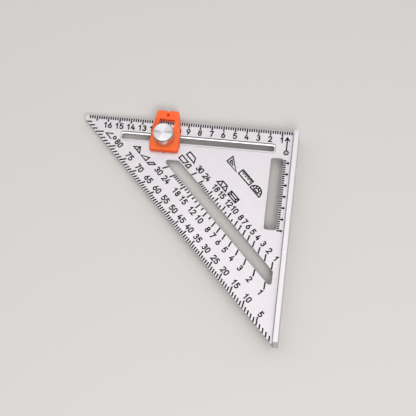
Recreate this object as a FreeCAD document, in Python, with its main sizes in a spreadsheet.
import FreeCAD, Part
import Sketcher
import os

# A metric speed square: an aluminium triangle with a fence along one leg, and an orange marking
# slider that runs in a slot beside the scale and is clamped by a turned knob.
# Frame, in millimetres: the origin is the pivot corner, at the plate's underside, where the scale
# edge meets the fence's inner face. The scale leg runs along -X, the fence along -Y, and the
# printed face looks up along +Z.

doc = FreeCAD.newDocument("speed_square")

# ---------------------------------------------------------------------------------------------
# Driving dimensions
# ---------------------------------------------------------------------------------------------

DIMENSIONS = (
    ("leg_length", 185.0, "each leg, from the pivot corner to the sharp tip it would reach"),
    ("plate_thick", 4.5, "thickness of the triangular plate"),
    ("tip_round", 2.8, "rounding of the tip at the far end of the scale"),
    ("tip_flat", 0.6, "blunt end of the tip beside the fence"),
    ("edge_break", 0.3, "small chamfer round the plate's outline and slots"),
    ("fence_thick", 4.2, "thickness of the fence, across the plate's plane"),
    ("fence_stand", 8.5, "how far the fence stands out from each face of the plate"),
    ("fence_inset", 1.7, "how far each end of the fence stops short of the leg"),
    ("fence_round", 0.5, "rounding of the fence's long edges"),
    ("fence_root", 1.0, "inside rounding where the fence meets the plate"),
    ("slot_left", 147.0, "left end of the slider's slot, from the fence"),
    ("slot_right", 15.1, "right end of the slider's slot, from the fence"),
    ("slot_inset", 0.3, "how far the narrower slot stops short of the step at each end"),
    ("slot_below_edge", 16.45, "centre line of the slider's slot, from the scale edge"),
    ("slot_width", 5.1, "width of the slot where it goes right through"),
    ("step_width", 7.5, "width of the step on each face of the slot"),
    ("step_top_deep", 0.8, "depth of the step on the printed face"),
    ("step_under_deep", 1.5, "depth of the step on the underside"),
    ("step_bevel", 0.7, "bevel round the step on the printed face"),
    ("slot_round", 1.9, "rounding of every slot's corners"),
    ("guide_left", 17.1, "left side of the upright pencil slot, from the fence"),
    ("guide_right", 7.0, "right side of the upright pencil slot, from the fence"),
    ("guide_top", 25.0, "upper end of the upright pencil slot, from the scale edge"),
    ("guide_bottom", 88.3, "lower end of the upright pencil slot, from the scale edge"),
    ("rafter_inner", 129.7, "slanted slot: leg of the triangle along its upper edge"),
    ("rafter_outer", 143.4, "slanted slot: leg of the triangle along its lower edge"),
    ("rafter_top", 35.1, "slanted slot: flat end, from the scale edge"),
    ("rafter_side", 6.0, "slanted slot: flat end, from the fence"),
    ("slider_at", 108.8, "where the slider stands, from the fence"),
    ("clamp_aside", 0.5, "how far the clamp stands to the left of the slider's middle"),
    ("slider_thick", 4.3, "how far the slider stands above the plate's face"),
    ("slider_gap", 0.1, "running clearance under the slider and beside its guide ribs"),
    ("slider_up", 24.65, "knob axis to the slider's upper end"),
    ("slider_down", 11.9, "knob axis to the slider's lower end"),
    ("slider_shoulder", 20.0, "knob axis to the small shoulder on each side"),
    ("widest_down", 3.3, "knob axis down to where the slider is widest"),
    ("half_top", 9.7, "half the slider's width above the shoulder"),
    ("half_shoulder", 10.1, "half its width just below the shoulder"),
    ("half_widest", 12.7, "half its width where it is widest"),
    ("half_foot", 12.1, "half its width at the lower end"),
    ("shoulder_rise", 0.6, "height of the small shoulder"),
    ("slider_corner", 2.4, "rounding of the slider's corners in plan"),
    ("slider_soft", 0.7, "rounding of the slider's upper edges"),
    ("window_half", 6.45, "half the width of the reading window"),
    ("window_low", 9.5, "knob axis to the window's lower edge"),
    ("index_half", 1.0, "half the width of the index points"),
    ("index_reach", 0.8, "how far the index in the window stands out"),
    ("pointer_reach", 1.4, "how far the lower pointer stands out"),
    ("pointer_thick", 3.0, "height of the lower pointer"),
    ("pencil_radius", 1.6, "radius of the pencil hole's funnel at the slider's face"),
    ("pencil_point", 0.6, "radius of the straight hole below the funnel"),
    ("funnel_deep", 3.3, "depth of the pencil hole's funnel"),
    ("pencil_up", 20.5, "knob axis to the pencil hole"),
    ("notch_half", 0.85, "half the width of the notch just below its rounded lips"),
    ("notch_lip", 0.8, "rounding of the notch's lips in plan"),
    ("notch_deep", 2.0, "depth of the notch, to its point"),
    ("rib_start", 2.8, "knob axis to the near end of each guide rib"),
    ("rib_end", 6.0, "knob axis to the far end of each guide rib"),
    ("rib_deep", 2.0, "how far the guide ribs reach down into the slot"),
    ("shank_radius", 2.0, "clamp bolt: M4 thread, outside radius"),
    ("shank_fit", 0.05, "radial clearance round the shank in the knob and washer"),
    ("shank_hole", 2.2, "radius of the slider's clearance hole"),
    ("shank_top", 17.0, "height of the shank's end above the plate's underside"),
    ("head_long", 11.0, "clamp bolt: length of the flat head, along the slot"),
    ("head_wide", 7.2, "clamp bolt: width of the flat head, across the slot"),
    ("head_round", 1.5, "clamp bolt: rounding of the head's corners"),
    ("head_thick", 1.2, "clamp bolt: thickness of the flat head"),
    ("neck_wide", 4.8, "clamp bolt: side of the square neck"),
    ("neck_tall", 1.9, "clamp bolt: height of the square neck"),
    ("washer_radius", 4.5, "washer: outside radius"),
    ("washer_thick", 0.8, "washer: thickness"),
    ("washer_seat", 0.7, "depth of the seat for the washer in the slider"),
    ("knob_radius", 8.7, "knob: outside radius"),
    ("knob_tall", 10.7, "knob: height"),
    ("knob_bevel", 0.8, "knob: bevel round the top"),
    ("knob_bore", 8.6, "knob: depth of the threaded hole"),
    ("knob_break", 0.35, "knob: small bevel round the bottom"),
)

dims = doc.addObject("Spreadsheet::Sheet", "dims")
for row, (alias, value, note) in enumerate(DIMENSIONS, start=1):
    dims.set(f"A{row}", alias)
    dims.set(f"B{row}", str(value))
    dims.setAlias(f"B{row}", alias)
    dims.set(f"C{row}", note)
doc.recompute()


def size(text):
    """The value of an expression written in the sheet's words."""
    value = dims.evalExpression(text)
    return float(getattr(value, "Value", value))


# ---------------------------------------------------------------------------------------------
# Helpers for bodies, sketches and features
# ---------------------------------------------------------------------------------------------

def new_body(label, right="0", up="0", height="0"):
    """A named body whose own origin stands at the given place in the shared frame."""
    body = doc.addObject("PartDesign::Body", label)
    body.Label = label
    body.setExpression("Placement.Base.x", right)
    body.setExpression("Placement.Base.y", up)
    body.setExpression("Placement.Base.z", height)
    doc.recompute()
    return body


def level_plane(body):
    """The body's own XY plane."""
    return [part for part in body.Origin.OriginFeatures if part.Role == "XY_Plane"][0]


def level_sketch(body, name, height="0"):
    """An empty sketch parallel to the body's XY plane at the given height."""
    sketch = body.newObject("Sketcher::SketchObject", name)
    sketch.AttachmentSupport = [(level_plane(body), "")]
    sketch.MapMode = "FlatFace"
    sketch.setExpression("AttachmentOffset.Base.z", height)
    return sketch


START, END, CENTRE = 1, 2, 3


def pin_coordinate(sketch, geometry, point, kind, axis, text):
    """Hold one coordinate of a curve's start, end or centre to an expression."""
    if text == "0":
        sketch.addConstraint(Sketcher.Constraint("PointOnObject", geometry, point, axis))
        return
    number = sketch.addConstraint(Sketcher.Constraint(kind, -1, 1, geometry, point, size(text)))
    sketch.setExpression(f"Constraints[{number}]", text)


def bulging_arc(start, end, radius):
    """The shorter arc from start to end, bulging to the right of the way it runs."""
    chord = end - start
    outwards = FreeCAD.Vector(chord.y, -chord.x, 0).normalize()
    sagitta = radius - (radius ** 2 - (chord.Length / 2) ** 2) ** 0.5
    return Part.ArcOfCircle(start, (start + end) / 2 + outwards * sagitta, end)


def outline(body, name, corners, height="0", arcs=None, hollow=False):
    """A closed outline through corners, each a pair of expressions, taken anticlockwise.

    Sides are straight unless arcs gives a radius, as an expression, for the side's number.
    Arcs bulge outwards, or inwards where hollow is true; a hollow arc is drawn from its far end,
    because a sketch's arcs always run anticlockwise.
    """
    arcs = arcs or {}
    near = [END if hollow and index in arcs else START for index in range(len(corners))]
    far = [START if point == END else END for point in near]
    sketch = level_sketch(body, name, height)
    places = [FreeCAD.Vector(size(right), size(up), 0) for right, up in corners]
    for index, place in enumerate(places):
        following = places[(index + 1) % len(places)]
        if index in arcs:
            start, end = (following, place) if hollow else (place, following)
            sketch.addGeometry(bulging_arc(start, end, size(arcs[index])), False)
            number = sketch.addConstraint(
                Sketcher.Constraint("Radius", index, size(arcs[index])))
            sketch.setExpression(f"Constraints[{number}]", arcs[index])
        else:
            sketch.addGeometry(Part.LineSegment(place, following), False)
    for index, (right, up) in enumerate(corners):
        following = (index + 1) % len(corners)
        sketch.addConstraint(
            Sketcher.Constraint("Coincident", index, far[index], following, near[following]))
        pin_coordinate(sketch, index, near[index], "DistanceX", -2, right)
        pin_coordinate(sketch, index, near[index], "DistanceY", -1, up)
    doc.recompute()
    return sketch


def box_outline(body, name, left, right, low, high, height="0"):
    """A rectangle between four expressions."""
    corners = [(left, low), (right, low), (right, high), (left, high)]
    return outline(body, name, corners, height)


def ring_outline(body, name, radii, height="0", right="0", up="0"):
    """One or more circles about a point."""
    sketch = level_sketch(body, name, height)
    for index, radius in enumerate(radii):
        centre = FreeCAD.Vector(size(right), size(up), 0)
        circle = Part.Circle(centre, FreeCAD.Vector(0, 0, 1), size(radius))
        sketch.addGeometry(circle, False)
        pin_coordinate(sketch, index, CENTRE, "DistanceX", -2, right)
        pin_coordinate(sketch, index, CENTRE, "DistanceY", -1, up)
        number = sketch.addConstraint(Sketcher.Constraint("Radius", index, size(radius)))
        sketch.setExpression(f"Constraints[{number}]", radius)
    doc.recompute()
    return sketch


def pad(body, name, sketch, length, upwards=True):
    """Add material from a sketch, up or down."""
    feature = body.newObject("PartDesign::Pad", name)
    feature.Profile = sketch
    feature.setExpression("Length", length)
    feature.Reversed = not upwards
    doc.recompute()
    return feature


def pocket(body, name, sketch, length, upwards=False):
    """Cut material from a sketch, down or up, and make sure that something was cut."""
    before = body.Shape.Volume
    feature = body.newObject("PartDesign::Pocket", name)
    feature.Profile = sketch
    feature.setExpression("Length", length)
    feature.Reversed = upwards
    doc.recompute()
    if feature.Shape.Volume >= before - 1e-6:
        raise RuntimeError(f"{name} cut nothing")
    return feature


def edge_names(shape, wanted):
    """Names of the edges for which wanted(edge) is true."""
    return [f"Edge{number}" for number, edge in enumerate(shape.Edges, start=1) if wanted(edge)]


def is_upright(edge):
    """True for a straight edge parallel to Z."""
    box = edge.BoundBox
    return box.XLength < 1e-4 and box.YLength < 1e-4 and box.ZLength > 1e-4


def is_level(edge, height):
    """True for an edge that lies wholly at one height."""
    return abs(edge.BoundBox.ZMin - height) < 1e-4 and abs(edge.BoundBox.ZMax - height) < 1e-4


def near_corner(edge, corners):
    """True for an upright edge that stands on one of the given corners."""
    if not is_upright(edge):
        return False
    centre = edge.BoundBox.Center
    for right, up in corners:
        if abs(centre.x - size(right)) < 1e-3 and abs(centre.y - size(up)) < 1e-3:
            return True
    return False


def soften(body, name, kind, wanted, amount):
    """A PartDesign fillet or chamfer on the body's chosen edges."""
    base = body.Tip
    names = edge_names(base.Shape, wanted)
    if not names:
        raise RuntimeError(f"{name} found no edges")
    feature = body.newObject(f"PartDesign::{kind}", name)
    feature.Base = (base, names)
    feature.setExpression("Radius" if kind == "Fillet" else "Size", amount)
    doc.recompute()
    if feature.Shape.isNull() or not feature.Shape.isValid():
        raise RuntimeError(f"{name} failed on {len(names)} edges")
    return feature


# ---------------------------------------------------------------------------------------------
# Square body: plate and fence in one piece, with the slots cut through the plate
# ---------------------------------------------------------------------------------------------

def build_square_body():
    body = new_body("square_body")
    blunt = "-(dims.leg_length - dims.tip_flat)"
    plate = [("0", "0"), ("-dims.leg_length", "0"), ("-dims.tip_flat", blunt), ("0", blunt)]
    pad(body, "plate", outline(body, "plate_outline", plate), "dims.plate_thick")
    soften(body, "far_tip", "Fillet", lambda edge: near_corner(edge, plate[1:2]), "dims.tip_round")
    cut_guide_slots(body)
    cut_slider_slot(body)
    break_plate_edges(body)
    add_fence(body)
    return body


def cut_guide_slots(body):
    """The upright pencil slot beside the fence and the slanted rafter slot."""
    guide = [("-dims.guide_left", "-dims.guide_bottom"), ("-dims.guide_right", "-dims.guide_bottom"),
             ("-dims.guide_right", "-dims.guide_top"), ("-dims.guide_left", "-dims.guide_top")]
    rafter = [("-(dims.rafter_outer - dims.rafter_top)", "-dims.rafter_top"),
              ("-dims.rafter_side", "-(dims.rafter_outer - dims.rafter_side)"),
              ("-dims.rafter_side", "-(dims.rafter_inner - dims.rafter_side)"),
              ("-(dims.rafter_inner - dims.rafter_top)", "-dims.rafter_top")]
    for name, corners in (("guide_slot", guide), ("rafter_slot", rafter)):
        sketch = outline(body, name + "_outline", corners, "dims.plate_thick")
        pocket(body, name, sketch, "dims.plate_thick")
    soften(body, "slot_corners", "Fillet",
           lambda edge: near_corner(edge, guide + rafter), "dims.slot_round")


def cut_slider_slot(body):
    """The slider's slot: a step on each face and a narrower slot right through."""
    step = slot_limits("dims.step_width / 2", "0")
    through = slot_limits("dims.slot_width / 2", "dims.slot_inset")
    pocket(body, "top_step", box_outline(body, "top_step_outline", *step, "dims.plate_thick"),
           "dims.step_top_deep")
    pocket(body, "under_step", box_outline(body, "under_step_outline", *step),
           "dims.step_under_deep", upwards=True)
    pocket(body, "slot_through", box_outline(body, "slot_outline", *through, "dims.plate_thick"),
           "dims.plate_thick")
    for name, limits in (("step_corners", step), ("slot_through_corners", through)):
        left, right, low, high = limits
        corners = [(left, low), (right, low), (right, high), (left, high)]
        soften(body, name, "Fillet", lambda edge: near_corner(edge, corners), "dims.slot_round")


def slot_limits(half, inset):
    """Left, right, lower and upper limits of a slot of the given half width."""
    return (f"-(dims.slot_left - {inset})", f"-(dims.slot_right + {inset})",
            f"-dims.slot_below_edge - {half}", f"-dims.slot_below_edge + {half}")


def break_plate_edges(body):
    """Bevel the slider's slot, then chamfer both faces except where the fence joins."""
    thick = size("dims.plate_thick")
    left, right, low, high = [size(text) for text in slot_limits("dims.step_width / 2", "0")]
    slack = 0.01

    def round_step(edge):
        box = edge.BoundBox
        inside = left - slack < box.XMin and box.XMax < right + slack
        return inside and low - slack < box.YMin and box.YMax < high + slack

    def on_face(edge):
        at_fence = edge.BoundBox.XMin > -slack
        return (is_level(edge, 0) or is_level(edge, thick)) and not at_fence

    soften(body, "step_bevel", "Chamfer",
           lambda edge: is_level(edge, thick) and round_step(edge), "dims.step_bevel")
    slack += size("dims.step_bevel")
    soften(body, "broken_edges", "Chamfer",
           lambda edge: on_face(edge) and not (is_level(edge, thick) and round_step(edge)),
           "dims.edge_break")


def add_fence(body):
    """The T-shaped fence, with rounded long edges and rounded roots."""
    end = "-(dims.leg_length - dims.fence_inset)"
    foot = box_outline(body, "fence_outline", "0", "dims.fence_thick", end, "-dims.fence_inset",
                       "-dims.fence_stand")
    pad(body, "fence", foot, "dims.plate_thick + 2 * dims.fence_stand")
    thick = size("dims.plate_thick")
    stand = size("dims.fence_stand")
    length = size("dims.leg_length - 2 * dims.fence_inset")

    def along_fence(edge):
        return edge.BoundBox.YLength > length - 1 and edge.BoundBox.XLength < 1e-4

    def at_root(edge):
        level = is_level(edge, 0) or is_level(edge, thick)
        return along_fence(edge) and level and abs(edge.BoundBox.XMin) < 1e-3

    def at_rim(edge):
        return along_fence(edge) and (is_level(edge, -stand) or is_level(edge, thick + stand))

    soften(body, "fence_rim", "Fillet", at_rim, "dims.fence_round")
    soften(body, "fence_roots", "Fillet", at_root, "dims.fence_root")


# ---------------------------------------------------------------------------------------------
# Marking slider: the moulded piece that carries the pencil notch along the scale
# ---------------------------------------------------------------------------------------------

def build_marking_slider():
    body = new_body("marking_slider", "-dims.slider_at", "-dims.slot_below_edge",
                    "dims.plate_thick")
    right_side = [("dims.half_foot", "-dims.slider_down"),
                  ("dims.half_widest", "-dims.widest_down"),
                  ("dims.half_shoulder", "dims.slider_shoulder"),
                  ("dims.half_top", "dims.slider_shoulder + dims.shoulder_rise"),
                  ("dims.half_top", "dims.slider_up")]
    left_side = [("-" + right, up) for right, up in reversed(right_side)]
    corners = right_side + left_side
    upper = side_radius("(dims.half_widest - dims.half_shoulder)",
                        "(dims.slider_shoulder + dims.widest_down)")
    lower = side_radius("(dims.half_widest - dims.half_foot)",
                        "(dims.slider_down - dims.widest_down)")
    arcs = {0: lower, 1: upper, 7: upper, 8: lower}
    shape = outline(body, "slider_outline", corners, "dims.slider_gap", arcs)
    pad(body, "slider_plate", shape, "dims.slider_thick - dims.slider_gap")
    ends = [right_side[0], right_side[-1], left_side[0], left_side[-1]]
    soften(body, "slider_corners", "Fillet",
           lambda edge: near_corner(edge, ends), "dims.slider_corner")
    soften_slider_rim(body)
    cut_notch(body)
    cut_pencil_hole(body)
    cut_window(body)
    add_index_points(body)
    add_guide_ribs(body)
    cut_bolt_hole(body)
    return body


def side_radius(across, along):
    """Radius of an arc that leaves the widest place upright and comes in by across over along."""
    return f"({along} ^ 2 + {across} ^ 2) / (2 * {across})"


def cut_notch(body):
    """The pointed notch with rounded lips in the middle of the upper end."""
    lip_edge = "dims.notch_half + dims.notch_lip"
    lip_foot = "dims.slider_up - dims.notch_lip"
    beyond = "dims.slider_up + dims.notch_lip"
    mouth = [(f"-({lip_edge})", beyond), (f"-({lip_edge})", "dims.slider_up"),
             ("-dims.notch_half", lip_foot), ("0", "dims.slider_up - dims.notch_deep"),
             ("dims.notch_half", lip_foot), (lip_edge, "dims.slider_up"), (lip_edge, beyond)]
    lips = {1: "dims.notch_lip", 4: "dims.notch_lip"}
    sketch = outline(body, "notch_outline", mouth, "dims.slider_thick", lips, hollow=True)
    pocket(body, "notch", sketch, "dims.slider_thick")


def cut_pencil_hole(body):
    """The hole for a pencil point: a funnel that narrows to a short straight hole."""
    hole = ring_outline(body, "pencil_outline", ["dims.pencil_point"], "dims.slider_thick",
                        up="dims.pencil_up")
    pocket(body, "pencil_hole", hole, "dims.slider_thick")
    funnel = body.newObject("PartDesign::SubtractiveCone", "pencil_funnel")
    funnel.AttachmentSupport = [(level_plane(body), "")]
    funnel.MapMode = "FlatFace"
    funnel.setExpression("AttachmentOffset.Base.y", "dims.pencil_up")
    funnel.setExpression("AttachmentOffset.Base.z", "dims.slider_thick - dims.funnel_deep")
    funnel.setExpression("Radius1", "dims.pencil_point")
    funnel.setExpression("Radius2", "dims.pencil_radius")
    funnel.setExpression("Height", "dims.funnel_deep")
    doc.recompute()


def soften_slider_rim(body):
    """Rounded upper edges all the way round the slider's plan."""
    top = size("dims.slider_thick")
    soften(body, "slider_rim", "Fillet", lambda edge: is_level(edge, top), "dims.slider_soft")


def cut_window(body):
    """The reading window, whose upper wall stands over the scale edge."""
    sketch = box_outline(body, "window_outline", "-dims.window_half", "dims.window_half",
                         "dims.window_low", "dims.slot_below_edge", "dims.slider_thick")
    pocket(body, "window", sketch, "dims.slider_thick")


def add_index_points(body):
    """The index in the window and the pointer under the slider's lower end."""
    wall = "dims.slot_below_edge"
    index = [("-dims.index_half", wall), ("0", "dims.slot_below_edge - dims.index_reach"),
             ("dims.index_half", wall)]
    pad(body, "window_index", outline(body, "window_index_outline", index, "dims.slider_gap"),
        "dims.slider_thick - dims.slider_gap - dims.slider_soft")
    foot = "-dims.slider_down"
    pointer = [("-dims.index_half", foot), ("0", "-(dims.slider_down + dims.pointer_reach)"),
               ("dims.index_half", foot)]
    pad(body, "lower_pointer", outline(body, "pointer_outline", pointer, "dims.slider_gap"),
        "dims.pointer_thick")


def beside_clamp(text):
    """A place beside the clamp, measured from the slider's middle."""
    return f"{text} - dims.clamp_aside"


def add_guide_ribs(body):
    """Two ribs under the slider that run in the slot and keep the slider square to it."""
    half = "(dims.slot_width / 2 - dims.slider_gap)"
    for name, near, far in (("left_rib", "-dims.rib_end", "-dims.rib_start"),
                            ("right_rib", "dims.rib_start", "dims.rib_end")):
        sketch = box_outline(body, name + "_outline", beside_clamp(near), beside_clamp(far),
                             "-" + half, half, "-dims.rib_deep")
        pad(body, name, sketch, "dims.rib_deep + dims.slider_gap")
    ends = [(beside_clamp(side + "dims.rib_end"), edge + half)
            for side in ("", "-") for edge in ("", "-")]
    soften(body, "rib_corners", "Fillet", lambda edge: near_corner(edge, ends), "dims.slot_round")


def cut_bolt_hole(body):
    """The clearance hole for the clamp bolt and the seat for its washer."""
    hole = ring_outline(body, "bolt_hole_outline", ["dims.shank_hole"], "dims.slider_thick",
                        "-dims.clamp_aside")
    pocket(body, "bolt_hole", hole, "dims.slider_thick")
    seat = ring_outline(body, "seat_outline", ["dims.washer_radius + dims.slider_gap"],
                        "dims.slider_thick", "-dims.clamp_aside")
    pocket(body, "washer_seat", seat, "dims.washer_seat")


# ---------------------------------------------------------------------------------------------
# Clamp: a flat-headed bolt from below, a washer and a turned knob
# ---------------------------------------------------------------------------------------------

CLAMP_AT = "-dims.slider_at - dims.clamp_aside"


def build_clamp_bolt():
    """The head bears on the slot's lower step; its square neck keeps it from turning."""
    body = new_body("clamp_bolt", CLAMP_AT, "-dims.slot_below_edge",
                    "dims.step_under_deep")
    head = box_outline(body, "head_outline", "-dims.head_long / 2", "dims.head_long / 2",
                       "-dims.head_wide / 2", "dims.head_wide / 2")
    pad(body, "bolt_head", head, "dims.head_thick", upwards=False)
    soften(body, "head_corners", "Fillet", is_upright, "dims.head_round")
    neck = box_outline(body, "neck_outline", "-dims.neck_wide / 2", "dims.neck_wide / 2",
                       "-dims.neck_wide / 2", "dims.neck_wide / 2")
    pad(body, "bolt_neck", neck, "dims.neck_tall")
    shank = ring_outline(body, "shank_outline", ["dims.shank_radius"])
    pad(body, "bolt_shank", shank, "dims.shank_top - dims.step_under_deep")
    end = size("dims.shank_top - dims.step_under_deep")
    soften(body, "shank_end", "Chamfer", lambda edge: is_level(edge, end), "dims.knob_break")
    return body


def build_knob_washer():
    body = new_body("knob_washer", CLAMP_AT, "-dims.slot_below_edge",
                    "dims.plate_thick + dims.slider_thick - dims.washer_seat")
    ring = ring_outline(body, "washer_outline",
                        ["dims.washer_radius", "dims.shank_radius + dims.shank_fit"])
    pad(body, "washer_ring", ring, "dims.washer_thick")
    return body


def build_clamp_knob():
    base = "dims.plate_thick + dims.slider_thick - dims.washer_seat + dims.washer_thick"
    body = new_body("clamp_knob", CLAMP_AT, "-dims.slot_below_edge", base)
    drum = ring_outline(body, "knob_outline", ["dims.knob_radius"])
    pad(body, "knob_drum", drum, "dims.knob_tall")
    top = size("dims.knob_tall")
    soften(body, "knob_top_bevel", "Chamfer", lambda edge: is_level(edge, top), "dims.knob_bevel")
    soften(body, "knob_bottom_bevel", "Chamfer", lambda edge: is_level(edge, 0), "dims.knob_break")
    bore = ring_outline(body, "bore_outline", ["dims.shank_radius + dims.shank_fit"])
    pocket(body, "knob_thread_hole", bore, "dims.knob_bore", upwards=True)
    return body


# ---------------------------------------------------------------------------------------------
# Build, check and write
# ---------------------------------------------------------------------------------------------

def check_document(bodies):
    """Stop on any feature in error and on any piece without a sound solid."""
    for item in doc.Objects:
        if "Invalid" in item.State or "Error" in item.State:
            raise RuntimeError(f"{item.Label} is in state {item.State}")
    for body in bodies:
        if body.Shape.isNull() or not body.Shape.isValid() or len(body.Shape.Solids) != 1:
            raise RuntimeError(f"{body.Label} is not one valid solid")


def write_parts(bodies):
    """Write each body to its own STEP file, named after its label."""
    os.makedirs("parts", exist_ok=True)
    for body in bodies:
        body.Shape.exportStep(f"parts/{body.Label}.step")
        print(body.Label, round(body.Shape.Volume, 1), body.Shape.BoundBox)


pieces = [build_square_body(), build_marking_slider(), build_clamp_bolt(), build_knob_washer(),
          build_clamp_knob()]
doc.recompute()
check_document(pieces)
write_parts(pieces)
